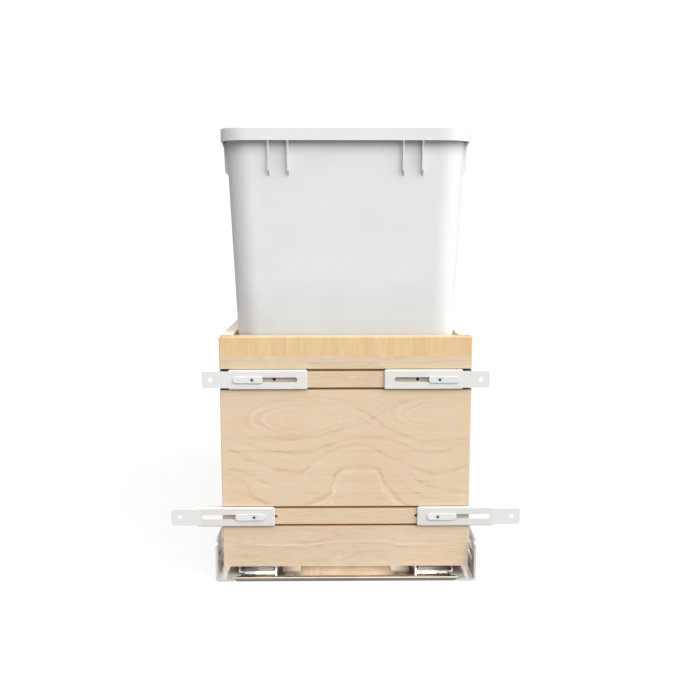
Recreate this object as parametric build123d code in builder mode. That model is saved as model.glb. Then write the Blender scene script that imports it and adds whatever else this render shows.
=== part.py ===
from build123d import *
import os

# Pull-out waste unit: a wooden tray on hidden full-extension slides over a
# sheet-steel base, with a lift-out bin and four sliding door brackets.
# Millimetres. X to the right, Y to the back, Z up, z = 0 under the base.

os.makedirs("parts", exist_ok=True)

# ------------------------------------------------------------ driving sizes
base_d = 560.0            # base front edge to rear edge
y_front = -base_d / 2     # base front edge
y_rear = base_d / 2
base_half_w = 139.0       # to the outside of the side flanges
flange_h = 43.5
flange_t = 2.2
foot_t = 2.5              # bottom flange of a side rail
foot_in = 97.0            # inner edge of the bottom flange
plate_t = 2.0             # cross plates
plate_z0 = foot_t
plate_z1 = foot_t + plate_t

tray_w = 264.0
tray_h = 250.0
tray_z0 = 13.0            # underside of the front and side panels
tray_z1 = tray_z0 + tray_h
y_face = y_front + 10.0   # front face of the front panel
front_t = 16.0
side_t = 12.7
tray_d = 546.0
y_back = y_face + tray_d  # rear face of the back panel
cap_h = 20.0
floor_z0 = tray_z0 + 13.0
floor_t = 9.0
floor_z1 = floor_z0 + floor_t
half_w = tray_w / 2
half_in = half_w - side_t

band_z = (tray_z0 + 205.0, tray_z0 + 56.2)   # middles of the two banded grooves
kerf_in, kerf_out = 8.55, 11.15               # kerf walls, from the band's middle
kerf_depth = 6.0

br_len = 110.0            # door bracket
br_t = 1.5
br_gap = 1.5              # air between the web and the panel
br_bend = 1.4             # outer radius of the bends
br_neck = 28.3            # length of the narrow outboard end
br_h_wide, br_h_neck = 20.8, 17.4
br_slot = (32.0, 99.5)    # slot ends, from the outboard end
br_slot_h = 5.2
br_hole_s = 8.95
br_hole_d = 5.2
br_lip = 5.0              # flanges that reach into the kerfs
br_out = (150.2, 186.0)   # outboard ends of the upper and lower brackets
br_travel = 35.8
screw_x = 98.0            # guide screws
spare_x = 75.0            # unused pilot holes

slide_x = 95.5            # middle of a slide
run = 0.1                 # running clearance at a ball

rim_w, rim_d, rim_h = 259.0, 368.0, 13.4
bin_y = -265.5 + rim_d / 2
bin_z0 = floor_z1 + 0.2
bin_z1 = 476.0
taper = 0.0394            # per side
bin_w0, bin_d0 = 214.2, 322.6
wall = 2.4


# ------------------------------------------------------------ tray: panels
with BuildPart() as front_panel:
    with BuildSketch(Plane.XY.offset(tray_z0)):
        with Locations((0, y_face + front_t / 2)):
            Rectangle(tray_w, front_t)
    extrude(amount=tray_h - cap_h)
    # eased outer corners and bottom edge
    fillet(front_panel.edges().filter_by(Axis.Z).group_by(Axis.Y)[0], radius=1.2)
    # tongue for the cap strip
    with BuildSketch(Plane.XY.offset(tray_z1 - cap_h)):
        with Locations((0, y_face + front_t / 2)):
            Rectangle(tray_w - 24, 5.0)
    extrude(amount=5.0)
    # two kerfs at each band
    for zc in band_z:
        with Locations(*[(0, y_face + kerf_depth / 2, zc + s * (kerf_in + kerf_out) / 2) for s in (-1, 1)]):
            Box(tray_w + 4, kerf_depth, kerf_out - kerf_in, mode=Mode.SUBTRACT)
    # groove for the tray floor
    with Locations((0, y_face + front_t - 2.5, (floor_z0 + floor_z1) / 2)):
        Box(2 * half_in + 9.0, 5.0, floor_t, mode=Mode.SUBTRACT)
    # pilot holes of the guide screws, and the spare pair
    with Locations(*[(sx * x, y_face + 6.0, zc) for sx in (-1, 1) for x in (screw_x, spare_x) for zc in band_z]):
        Cylinder(1.7, 12.0, rotation=(90, 0, 0), mode=Mode.SUBTRACT)
    # blind holes for the dowels
    with Locations(*[(sx * (half_w - side_t / 2), y_face + front_t - 5.0, z) for sx in (-1, 1) for z in (46, 100, 150, 196)]):
        Cylinder(3.0, 10.0, rotation=(90, 0, 0), mode=Mode.SUBTRACT)
front_panel.part.label = "front_panel"
export_step(front_panel.part, "parts/front_panel.step")

with BuildPart() as front_panel_cap:
    with BuildSketch(Plane.XY.offset(tray_z1 - cap_h)):
        with Locations((0, y_face + front_t / 2)):
            Rectangle(tray_w, front_t)
    extrude(amount=cap_h)
    fillet(front_panel_cap.edges().filter_by(Axis.Z).group_by(Axis.Y)[0], radius=1.2)
    fillet(front_panel_cap.faces().sort_by(Axis.Z)[-1].edges().filter_by(Axis.X), radius=1.0)
    with Locations((0, y_face + front_t / 2, tray_z1 - cap_h + 2.6)):
        Box(tray_w - 23.8, 5.0, 5.2, mode=Mode.SUBTRACT)
front_panel_cap.part.label = "front_panel_cap"
export_step(front_panel_cap.part, "parts/front_panel_cap.step")

div_y0, div_t, div_h = 95.0, 12.0, 190.0
side_y0 = y_face + front_t
with BuildPart() as left_side_panel:
    with BuildSketch(Plane.XY.offset(tray_z0)):
        with Locations((-half_w + side_t / 2, (side_y0 + y_back) / 2)):
            Rectangle(side_t, y_back - side_y0)
    extrude(amount=tray_h)
    fillet(left_side_panel.faces().sort_by(Axis.Z)[-1].edges().filter_by(Axis.Y), radius=1.2)
    # groove for the floor
    with Locations((-half_in - 2.25, (side_y0 + y_back) / 2, (floor_z0 + floor_z1) / 2)):
        Box(4.5, y_back - side_y0 + 2, floor_t, mode=Mode.SUBTRACT)
    # housing for the divider
    with Locations((-half_in - 2.0, div_y0 + div_t / 2, floor_z1 + div_h / 2)):
        Box(4.0, div_t, div_h, mode=Mode.SUBTRACT)
    # dowel holes in the front end
    with Locations(*[(-half_w + side_t / 2, side_y0 + 10.0, z) for z in (46, 100, 150, 196)]):
        Cylinder(3.0, 20.0, rotation=(90, 0, 0), mode=Mode.SUBTRACT)
    # countersunk screw holes into the back panel and the divider
    with Locations(*[(-half_w, y, z) for y, z in ((y_back - side_t / 2, 60), (y_back - side_t / 2, 150), (y_back - side_t / 2, 235), (div_y0 + div_t / 2, 75), (div_y0 + div_t / 2, 180))]):
        Cylinder(1.9, 40.0, rotation=(0, 90, 0), mode=Mode.SUBTRACT)
        Cone(4.0, 1.9, 2.6, rotation=(0, 90, 0), align=(Align.CENTER, Align.CENTER, Align.MIN), mode=Mode.SUBTRACT)
left_side_panel.part.label = "left_side_panel"
export_step(left_side_panel.part, "parts/left_side_panel.step")

with BuildPart() as right_side_panel:
    mirror(left_side_panel.part, about=Plane.YZ)
right_side_panel.part.label = "right_side_panel"
export_step(right_side_panel.part, "parts/right_side_panel.step")

with BuildPart() as back_panel:
    with BuildSketch(Plane.XY.offset(floor_z1)):
        with Locations((0, y_back - side_t / 2)):
            Rectangle(2 * half_in, side_t)
    extrude(amount=tray_z1 - floor_z1)
    fillet(back_panel.faces().sort_by(Axis.Z)[-1].edges().filter_by(Axis.X), radius=1.2)
    # holes for the hooks of the slides
    with Locations(*[(sx * slide_x, y_back - 4.25, 44.0) for sx in (-1, 1)]):
        Cylinder(3.0, 8.5, rotation=(90, 0, 0), mode=Mode.SUBTRACT)
    # pilot holes in the ends
    with Locations(*[(sx * (half_in - 12.5), y_back - side_t / 2, z) for sx in (-1, 1) for z in (60, 150, 235)]):
        Cylinder(1.65, 25.0, rotation=(0, 90, 0), mode=Mode.SUBTRACT)
back_panel.part.label = "back_panel"
export_step(back_panel.part, "parts/back_panel.step")

with BuildPart() as tray_floor:
    with BuildSketch(Plane.XY.offset(floor_z0)):
        with Locations((0, (side_y0 - 4.5 + y_back) / 2)):
            Rectangle(2 * half_in + 8.2, y_back - side_y0 + 4.5)
    extrude(amount=floor_t)
    # pilot holes for the clip screws
    with Locations(*[(sx * 61.0, y, floor_z0 + 2.5) for sx in (-1, 1) for y in (-238.0, -205.5)]):
        Cylinder(1.2, 5.0, mode=Mode.SUBTRACT)
tray_floor.part.label = "tray_floor"
export_step(tray_floor.part, "parts/tray_floor.step")

with BuildPart() as divider_panel:
    with BuildSketch(Plane.XY.offset(floor_z1)):
        with Locations((0, div_y0 + div_t / 2)):
            Rectangle(2 * half_in + 7.6, div_t)
    extrude(amount=div_h)
    # hand notch in the top edge
    with BuildSketch(Plane.XZ.offset(-div_y0)) as notch:
        with Locations((0, floor_z1 + div_h)):
            SlotOverall(110, 44)
    extrude(amount=-div_t, mode=Mode.SUBTRACT)
    with Locations(*[(sx * (half_in + 3.8 - 11.0), div_y0 + div_t / 2, z) for sx in (-1, 1) for z in (75, 180)]):
        Cylinder(1.65, 22.0, rotation=(0, 90, 0), mode=Mode.SUBTRACT)
divider_panel.part.label = "divider_panel"
export_step(divider_panel.part, "parts/divider_panel.step")

with BuildPart() as corner_dowels:
    with Locations(*[(sx * (half_w - side_t / 2), side_y0 + 5.0, z) for sx in (-1, 1) for z in (46, 100, 150, 196)]):
        Cylinder(3.0, 29.0, rotation=(90, 0, 0))
corner_dowels.part.label = "corner_dowels"
export_step(corner_dowels.part, "parts/corner_dowels.step")

with BuildPart() as tray_screws:
    for sx in (-1, 1):
        for y, z, length in ((y_back - side_t / 2, 60, 36.0), (y_back - side_t / 2, 150, 36.0), (y_back - side_t / 2, 235, 36.0), (div_y0 + div_t / 2, 75, 28.0), (div_y0 + div_t / 2, 180, 28.0)):
            with Locations((sx * (half_w - 0.2), y, z)):
                Cone(3.8, 1.6, 2.4, rotation=(0, -90 * sx, 0), align=(Align.CENTER, Align.CENTER, Align.MIN))
                Cylinder(1.6, length, rotation=(0, -90 * sx, 0), align=(Align.CENTER, Align.CENTER, Align.MIN))
            # cross recess
            with Locations((sx * (half_w - 0.7), y, z)):
                Box(1.2, 3.6, 0.9, mode=Mode.SUBTRACT)
                Box(1.2, 0.9, 3.6, mode=Mode.SUBTRACT)
tray_screws.part.label = "tray_screws"
export_step(tray_screws.part, "parts/tray_screws.step")

# ------------------------------------------------------------ bin
top_z = bin_z1 - 1.0
w1 = bin_w0 + 2 * taper * (top_z - bin_z0)
d1 = bin_d0 + 2 * taper * (top_z - bin_z0)
with BuildPart() as bin_shell:
    # tapered body with a turned-under foot
    with BuildSketch(Plane.XY.offset(bin_z0)):
        with Locations((0, bin_y)):
            RectangleRounded(bin_w0 - 10.0, bin_d0 - 10.0, 19.0)
    with BuildSketch(Plane.XY.offset(bin_z0 + 6.0)):
        with Locations((0, bin_y)):
            RectangleRounded(bin_w0 + 0.4, bin_d0 + 0.4, 24.0)
    loft(ruled=True)
    with BuildSketch(Plane.XY.offset(bin_z0 + 6.0)):
        with Locations((0, bin_y)):
            RectangleRounded(bin_w0 + 0.4, bin_d0 + 0.4, 24.0)
    with BuildSketch(Plane.XY.offset(top_z)):
        with Locations((0, bin_y)):
            RectangleRounded(w1, d1, 25.0)
    loft(ruled=True)
    # thin ribs under the rim, front and back
    for x in (-78.7, -59.0, 59.0, 78.7):
        with BuildSketch(Plane.YZ.offset(x - 0.9)):
            with BuildLine():
                Polyline((-265.3, 463.0), (-265.3, 462.0), (-263.6, 457.0), (-262.8, 433.0), (-256.5, 425.5), (-250.0, 425.5), (-250.0, 463.0), close=True)
            make_face()
            with BuildLine():
                Polyline(*[(2 * bin_y - y, z) for y, z in ((-265.3, 463.0), (-265.3, 462.0), (-263.6, 457.0), (-262.8, 433.0), (-256.5, 425.5), (-250.0, 425.5), (-250.0, 463.0))], close=True)
            make_face()
        extrude(amount=1.8)
    # and at the ends of both sides
    for y in (bin_y - 147.5, bin_y - 127.8, bin_y + 127.8, bin_y + 147.5):
        with BuildSketch(Plane.XZ.offset(-(y - 0.9))):
            for s in (-1, 1):
                with BuildLine():
                    Polyline(*[(s * x, z) for x, z in ((129.3, 463.0), (129.3, 462.0), (127.6, 457.0), (126.8, 433.0), (120.5, 425.5), (114.0, 425.5), (114.0, 463.0))], close=True)
                make_face()
        extrude(amount=-1.8)
    # downturned rim: skirt and top flange
    with BuildSketch(Plane.XY.offset(bin_z1 - rim_h)):
        with Locations((0, bin_y)):
            RectangleRounded(rim_w, rim_d, 28.0)
            RectangleRounded(rim_w - 4.4, rim_d - 4.4, 25.8, mode=Mode.SUBTRACT)
    extrude(amount=rim_h)
    with BuildSketch(Plane.XY.offset(bin_z1 - 2.4)):
        with Locations((0, bin_y)):
            RectangleRounded(rim_w, rim_d, 28.0)
    extrude(amount=2.4)
    fillet(bin_shell.faces().sort_by(Axis.Z)[-1].edges(), radius=1.4)
    # hollow
    with BuildSketch(Plane.XY.offset(bin_z0 + 2.6)):
        with Locations((0, bin_y)):
            RectangleRounded(bin_w0 - 11.6, bin_d0 - 11.6, 18.0)
    with BuildSketch(Plane.XY.offset(bin_z0 + 7.0)):
        with Locations((0, bin_y)):
            RectangleRounded(bin_w0 + 0.5 - 2 * wall, bin_d0 + 0.5 - 2 * wall, 21.8)
    loft(ruled=True, mode=Mode.SUBTRACT)
    with BuildSketch(Plane.XY.offset(bin_z0 + 7.0)):
        with Locations((0, bin_y)):
            RectangleRounded(bin_w0 + 0.5 - 2 * wall, bin_d0 + 0.5 - 2 * wall, 21.8)
    with BuildSketch(Plane.XY.offset(bin_z1 + 1.0)):
        with Locations((0, bin_y)):
            RectangleRounded(w1 + 0.2 - 2 * wall, d1 + 0.2 - 2 * wall, 22.8)
    loft(ruled=True, mode=Mode.SUBTRACT)
bin_shell.part.label = "bin"
export_step(bin_shell.part, "parts/bin.step")

# ------------------------------------------------------------ door brackets
# A pressed steel strip: web in front of the panel, two flanges in the kerfs.
br_x0 = -br_out[0]
br_wx0, br_wx1 = br_x0 + br_neck, br_x0 + br_len       # wide part
br_back, br_front = y_face - br_gap, y_face - br_gap - br_t
with BuildPart() as upper_left_bracket:
    # channel with rounded bends
    with BuildSketch(Plane.YZ.offset(br_wx0)):
        with Locations(((br_front + y_face + br_lip) / 2, band_z[0])):
            Rectangle(y_face + br_lip - br_front, br_h_wide)
        fillet(vertices().group_by(Axis.X)[0], radius=br_bend)
        with Locations(((br_back + y_face + br_lip + 1) / 2, band_z[0])):
            Rectangle(y_face + br_lip + 1 - br_back, br_h_wide - 2.4, mode=Mode.SUBTRACT)
    extrude(amount=br_wx1 - br_wx0)
    # flanges stop short of both ends of the wide part
    for xa, xb in ((br_wx0 - 1, br_wx0 + 1.6), (br_wx1 - 1.8, br_wx1 + 1)):
        with BuildSketch(Plane.XZ.offset(-br_back)):
            with Locations(((xa + xb) / 2, band_z[0])):
                Rectangle(xb - xa, br_h_wide + 2)
        extrude(amount=-(br_gap + br_lip + 1), mode=Mode.SUBTRACT)
    fillet(upper_left_bracket.edges().filter_by(Axis.Y).group_by(Axis.X)[-1], radius=1.2)
    # neck
    with BuildSketch(Plane.XZ.offset(-br_back)):
        with Locations((br_x0 + (br_neck + 2) / 2, band_z[0])):
            Rectangle(br_neck + 2, br_h_neck)
        fillet(vertices().group_by(Axis.X)[0], radius=3.0)
    extrude(amount=br_t)
    # slot and end hole
    with BuildSketch(Plane.XZ.offset(-y_face - 1)):
        with Locations((br_x0 + (br_slot[0] + br_slot[1]) / 2, band_z[0])):
            SlotOverall(br_slot[1] - br_slot[0], br_slot_h)
        with Locations((br_x0 + br_hole_s, band_z[0])):
            Circle(br_hole_d / 2)
    extrude(amount=8, both=True, mode=Mode.SUBTRACT)
upper_left_bracket.part.label = "upper_left_bracket"
export_step(upper_left_bracket.part, "parts/upper_left_bracket.step")

with BuildPart() as upper_right_bracket:
    mirror(upper_left_bracket.part, about=Plane.YZ)
upper_right_bracket.part.label = "upper_right_bracket"
export_step(upper_right_bracket.part, "parts/upper_right_bracket.step")

# the lower pair is the same pressing, drawn out further
lower_shift = (-(br_out[1] - br_out[0]), 0, band_z[1] - band_z[0])
with BuildPart() as lower_left_bracket:
    add(upper_left_bracket.part.moved(Location(lower_shift)))
lower_left_bracket.part.label = "lower_left_bracket"
export_step(lower_left_bracket.part, "parts/lower_left_bracket.step")

with BuildPart() as lower_right_bracket:
    mirror(lower_left_bracket.part, about=Plane.YZ)
lower_right_bracket.part.label = "lower_right_bracket"
export_step(lower_right_bracket.part, "parts/lower_right_bracket.step")

# Guide block: its stem fills the slot, its thin lip holds the bracket back.
guide_in, guide_out = 86.9, 117.8
guide_lip = br_gap + br_t + 0.3                        # back of the lip, in front of the panel
guide_y = y_face - guide_lip - 0.9                     # front of the lip
with BuildPart() as upper_left_guide:
    with BuildSketch(Plane.XZ.offset(-y_face)):
        with Locations((-(guide_in + guide_out) / 2, band_z[0])):
            SlotOverall(guide_out - guide_in, 4.5)
    extrude(amount=guide_lip)
    with BuildSketch(Plane.XZ.offset(-y_face + guide_lip)):
        with Locations((-(guide_in + guide_out) / 2, band_z[0])):
            SlotOverall(guide_out - guide_in + 0.6, 7.0)
    extrude(amount=0.9)
    fillet(upper_left_guide.faces().sort_by(Axis.Y)[0].edges(), radius=0.35)
    with Locations((-screw_x, y_face - 1.3, band_z[0])):
        Cylinder(1.7, 12.0, rotation=(90, 0, 0), mode=Mode.SUBTRACT)
    with Locations((-screw_x, guide_y, band_z[0])):
        Cone(3.0, 1.7, 1.3, rotation=(-90, 0, 0), align=(Align.CENTER, Align.CENTER, Align.MIN), mode=Mode.SUBTRACT)
upper_left_guide.part.label = "upper_left_guide"
export_step(upper_left_guide.part, "parts/upper_left_guide.step")

with BuildPart() as upper_right_guide:
    mirror(upper_left_guide.part, about=Plane.YZ)
upper_right_guide.part.label = "upper_right_guide"
export_step(upper_right_guide.part, "parts/upper_right_guide.step")

with BuildPart() as lower_left_guide:
    add(upper_left_guide.part.moved(Location((0, 0, band_z[1] - band_z[0]))))
lower_left_guide.part.label = "lower_left_guide"
export_step(lower_left_guide.part, "parts/lower_left_guide.step")

with BuildPart() as lower_right_guide:
    mirror(lower_left_guide.part, about=Plane.YZ)
lower_right_guide.part.label = "lower_right_guide"
export_step(lower_right_guide.part, "parts/lower_right_guide.step")

with BuildPart() as guide_screws:
    for sx in (-1, 1):
        for zc in band_z:
            with Locations((sx * screw_x, guide_y + 0.1, zc)):
                Cone(2.85, 1.6, 1.2, rotation=(-90, 0, 0), align=(Align.CENTER, Align.CENTER, Align.MIN))
                Cylinder(1.6, 15.6, rotation=(-90, 0, 0), align=(Align.CENTER, Align.CENTER, Align.MIN))
            with Locations((sx * screw_x, guide_y + 0.5, zc)):
                Box(3.4, 1.0, 0.8, mode=Mode.SUBTRACT)
                Box(0.8, 1.0, 3.4, mode=Mode.SUBTRACT)
guide_screws.part.label = "guide_screws"
export_step(guide_screws.part, "parts/guide_screws.step")

# ------------------------------------------------------------ base
flange_slots = [(y_front + 31.0, 30.5), (y_front + 31.0, 18.5), (y_rear - 31.0, 30.5), (y_rear - 31.0, 18.5)]
floor_hole_x, floor_hole_y = 128.0, 240.0
rivet_x, rivet_y = 103.0, (-255.0, -222.0, 222.0, 255.0)
with BuildPart() as base_left_rail:
    # one folded sheet: upright flange and foot
    with BuildSketch(Plane.XZ.offset(-y_front)) as rail_profile:
        with BuildLine():
            Polyline((-base_half_w, 0), (-foot_in, 0), (-foot_in, foot_t), (-base_half_w + flange_t, foot_t), (-base_half_w + flange_t, flange_h), (-base_half_w, flange_h), close=True)
        make_face()
        fillet(rail_profile.vertices().sort_by(Axis.X)[0:2].sort_by(Axis.Y)[0], radius=3.2)
        fillet(rail_profile.vertices().sort_by_distance((-base_half_w + flange_t, foot_t))[0], radius=1.0)
    extrude(amount=-base_d)
    # rounded top corners
    fillet(base_left_rail.edges().filter_by(Axis.X).group_by(Axis.Z)[-1], radius=4.0)
    # room for the front plate's lip
    with Locations(((-foot_in - 121.0) / 2, y_front + 1.25, foot_t / 2)):
        Box(121.0 - foot_in + 0.01, 2.6, foot_t + 1, mode=Mode.SUBTRACT)
    # side slots
    with BuildSketch(Plane.YZ.offset(-base_half_w - 1)):
        with Locations(*flange_slots):
            SlotOverall(30.0, 5.5)
    extrude(amount=5, mode=Mode.SUBTRACT)
    # floor screw holes and rivet holes
    with Locations(*[(-floor_hole_x, y, foot_t / 2) for y in (-floor_hole_y, floor_hole_y)]):
        Cylinder(2.75, 6.0, mode=Mode.SUBTRACT)
    with Locations(*[(-rivet_x, y, foot_t / 2) for y in rivet_y]):
        Cylinder(2.0, 6.0, mode=Mode.SUBTRACT)
base_left_rail.part.label = "base_left_rail"
export_step(base_left_rail.part, "parts/base_left_rail.step")

with BuildPart() as base_right_rail:
    mirror(base_left_rail.part, about=Plane.YZ)
base_right_rail.part.label = "base_right_rail"
export_step(base_right_rail.part, "parts/base_right_rail.step")

slide_screw_y = (-232.0, -218.0, 232.0, 246.0)
with BuildPart() as base_front_plate:
    with BuildSketch(Plane.XY.offset(plate_z0)):
        with BuildLine():
            Polyline((-120, y_front), (120, y_front), (109, y_front + 11.5), (109, y_front + 78), (-109, y_front + 78), (-109, y_front + 11.5), close=True)
        make_face()
    extrude(amount=plate_t)
    chamfer(base_front_plate.edges().filter_by(Axis.X).group_by(Axis.Z)[-1].sort_by(Axis.Y)[0], length=0.7)
    with BuildSketch(Plane.XZ.offset(-y_front)):
        with BuildLine():
            Polyline((-119.4, plate_z1 - 0.7), (119.4, plate_z1 - 0.7), (116.5, 0.3), (-116.5, 0.3), close=True)
        make_face()
    extrude(amount=-2.0)
    with Locations(*[(sx * rivet_x, y, plate_z0 + plate_t / 2) for sx in (-1, 1) for y in rivet_y[:2]]):
        Cylinder(2.0, 6.0, mode=Mode.SUBTRACT)
    with Locations(*[(sx * slide_x, y, plate_z0 + plate_t / 2) for sx in (-1, 1) for y in slide_screw_y[:2]]):
        Cylinder(1.7, 6.0, mode=Mode.SUBTRACT)
base_front_plate.part.label = "base_front_plate"
export_step(base_front_plate.part, "parts/base_front_plate.step")

with BuildPart() as base_rear_plate:
    with BuildSketch(Plane.XY.offset(plate_z0)):
        with Locations((0, y_rear - 40.0)):
            Rectangle(218, 78)
    extrude(amount=plate_t)
    fillet(base_rear_plate.edges().filter_by(Axis.Z), radius=4.0)
    with Locations(*[(sx * rivet_x, y, plate_z0 + plate_t / 2) for sx in (-1, 1) for y in rivet_y[2:]]):
        Cylinder(2.0, 6.0, mode=Mode.SUBTRACT)
    with Locations(*[(sx * slide_x, y, plate_z0 + plate_t / 2) for sx in (-1, 1) for y in slide_screw_y[2:]]):
        Cylinder(1.7, 6.0, mode=Mode.SUBTRACT)
base_rear_plate.part.label = "base_rear_plate"
export_step(base_rear_plate.part, "parts/base_rear_plate.step")

with BuildPart() as base_rivets:
    with Locations(*[(sx * rivet_x, y, plate_z1 / 2 + 0.05) for sx in (-1, 1) for y in rivet_y]):
        Cylinder(2.0, plate_z1 - 0.1)
base_rivets.part.label = "base_rivets"
export_step(base_rivets.part, "parts/base_rivets.step")

# ------------------------------------------------------------ slides
# Three nested channels: cabinet member below, middle member, tray member on
# top. Balls run in grooves between their walls.
cab_y0, slide_y1 = y_face + 3.0, y_back - 0.5
mid_y0 = side_y0 + 2.0
wall_t = 1.6
z_cab1, z_mid0, z_mid1 = 16.0, 7.8, 19.5
ball_r = 2.3
outer_u, outer_z = 17.15, 12.0     # ball line between cabinet and middle member
inner_u, inner_z = 12.05, 15.5     # ball line between middle and tray member

with BuildPart() as left_cabinet_member:
    with BuildSketch(Plane.XZ.offset(-cab_y0)):
        with Locations((-slide_x, (plate_z1 + z_cab1) / 2)):
            Rectangle(41.0, z_cab1 - plate_z1)
        with Locations((-slide_x, (plate_z1 + 1.5 + z_cab1) / 2 + 5)):
            Rectangle(41.0 - 2 * wall_t, z_cab1 - plate_z1 - 1.5 + 10, mode=Mode.SUBTRACT)
    extrude(amount=-(slide_y1 - cab_y0))
    # walls drop and slope under the front panel
    with BuildSketch(Plane.YZ.offset(-slide_x - 30)):
        with BuildLine():
            Polyline((cab_y0 - 1, 8.0), (cab_y0, 8.0), (cab_y0 + 8, 12.3), (side_y0 + 2, 12.3), (side_y0 + 6, z_cab1), (side_y0 + 6, 20), (cab_y0 - 1, 20), close=True)
        make_face()
    extrude(amount=60, mode=Mode.SUBTRACT)
    with Locations(*[(-slide_x + s * outer_u, 0, outer_z) for s in (-1, 1)]):
        Cylinder(ball_r + run, 700.0, rotation=(90, 0, 0), mode=Mode.SUBTRACT)
    with Locations(*[(-slide_x, y, 6.0) for y in slide_screw_y]):
        Cylinder(2.05, 8.0, mode=Mode.SUBTRACT)
left_cabinet_member.part.label = "left_cabinet_member"
export_step(left_cabinet_member.part, "parts/left_cabinet_member.step")

with BuildPart() as left_middle_member:
    with BuildSketch(Plane.XZ.offset(-mid_y0)):
        with Locations((-slide_x, (z_mid0 + z_mid1) / 2)):
            Rectangle(30.8, z_mid1 - z_mid0)
        with Locations((-slide_x, (z_mid0 + 1.6 + z_mid1) / 2 + 5)):
            Rectangle(30.8 - 2 * wall_t, z_mid1 - z_mid0 - 1.6 + 10, mode=Mode.SUBTRACT)
    extrude(amount=-(slide_y1 - mid_y0))
    with Locations(*[(-slide_x + s * outer_u, 0, outer_z) for s in (-1, 1)]):
        Cylinder(ball_r + run, 700.0, rotation=(90, 0, 0), mode=Mode.SUBTRACT)
    with Locations(*[(-slide_x + s * inner_u, 0, inner_z) for s in (-1, 1)]):
        Cylinder(ball_r + run, 700.0, rotation=(90, 0, 0), mode=Mode.SUBTRACT)
left_middle_member.part.label = "left_middle_member"
export_step(left_middle_member.part, "parts/left_middle_member.step")

with BuildPart() as left_tray_member:
    with BuildSketch(Plane.XZ.offset(-(side_y0 + 1.0))):
        with Locations((-slide_x, floor_z0 - 0.75)):
            Rectangle(38.0, 1.5)
        with Locations(*[(-slide_x + s * (inner_u - 1.75 - wall_t / 2), (11.0 + floor_z0 - 1) / 2) for s in (-1, 1)]):
            Rectangle(wall_t, floor_z0 - 1 - 11.0)
    extrude(amount=-(y_back - side_y0 + 0.9))
    with Locations(*[(-slide_x + s * inner_u, 0, inner_z) for s in (-1, 1)]):
        Cylinder(ball_r + run, 700.0, rotation=(90, 0, 0), mode=Mode.SUBTRACT)
    # rear tab with a pin that hooks into the back panel
    with Locations((-slide_x, y_back + 1.15, (floor_z0 - 1.5 + 50.0) / 2)):
        Box(20.0, 1.5, 50.0 - floor_z0 + 1.5)
    with Locations((-slide_x, y_back + 0.9, 44.0)):
        Cylinder(2.7, 8.4, rotation=(90, 0, 0), align=(Align.CENTER, Align.CENTER, Align.MIN))
left_tray_member.part.label = "left_tray_member"
export_step(left_tray_member.part, "parts/left_tray_member.step")

for name, source in (("right_cabinet_member", left_cabinet_member), ("right_middle_member", left_middle_member), ("right_tray_member", left_tray_member)):
    with BuildPart() as right_member:
        mirror(source.part, about=Plane.YZ)
    right_member.part.label = name
    export_step(right_member.part, "parts/" + name + ".step")

cage_len, cage_y0, pitch = 200.0, mid_y0 + 150.0, 24.0
ball_ys = [cage_y0 + 16.0 + pitch * i for i in range(8)]
with BuildPart() as left_outer_retainer:
    with Locations(*[(-slide_x + s * outer_u, cage_y0 + cage_len / 2, outer_z) for s in (-1, 1)]):
        Box(0.8, cage_len, 6.6)
    with Locations(*[(-slide_x + s * outer_u, y, outer_z) for s in (-1, 1) for y in ball_ys]):
        Cylinder(ball_r + 0.15, 3.0, rotation=(0, 90, 0), mode=Mode.SUBTRACT)
left_outer_retainer.part.label = "left_outer_retainer"
export_step(left_outer_retainer.part, "parts/left_outer_retainer.step")

with BuildPart() as left_inner_retainer:
    with Locations(*[(-slide_x + s * inner_u, cage_y0 + cage_len / 2, inner_z) for s in (-1, 1)]):
        Box(0.8, cage_len, 6.6)
    with Locations(*[(-slide_x + s * inner_u, y, inner_z) for s in (-1, 1) for y in ball_ys]):
        Cylinder(ball_r + 0.15, 3.0, rotation=(0, 90, 0), mode=Mode.SUBTRACT)
left_inner_retainer.part.label = "left_inner_retainer"
export_step(left_inner_retainer.part, "parts/left_inner_retainer.step")

with BuildPart() as left_outer_balls:
    with Locations(*[(-slide_x + s * outer_u, y, outer_z) for s in (-1, 1) for y in ball_ys]):
        Sphere(ball_r)
left_outer_balls.part.label = "left_outer_balls"
export_step(left_outer_balls.part, "parts/left_outer_balls.step")

with BuildPart() as left_inner_balls:
    with Locations(*[(-slide_x + s * inner_u, y, inner_z) for s in (-1, 1) for y in ball_ys]):
        Sphere(ball_r)
left_inner_balls.part.label = "left_inner_balls"
export_step(left_inner_balls.part, "parts/left_inner_balls.step")

for name, source in (("right_outer_retainer", left_outer_retainer), ("right_inner_retainer", left_inner_retainer), ("right_outer_balls", left_outer_balls), ("right_inner_balls", left_inner_balls)):
    with BuildPart() as right_piece:
        mirror(source.part, about=Plane.YZ)
    right_piece.part.label = name
    export_step(right_piece.part, "parts/" + name + ".step")

with BuildPart() as slide_screws:
    for sx in (-1, 1):
        for y in slide_screw_y:
            with Locations((sx * slide_x, y, plate_z0)):
                Cylinder(1.65, plate_t + 1.6, align=(Align.CENTER, Align.CENTER, Align.MIN))
            with Locations((sx * slide_x, y, plate_z1 + 1.5)):
                Cylinder(3.7, 1.1, align=(Align.CENTER, Align.CENTER, Align.MIN))
slide_screws.part.label = "slide_screws"
export_step(slide_screws.part, "parts/slide_screws.step")

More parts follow.
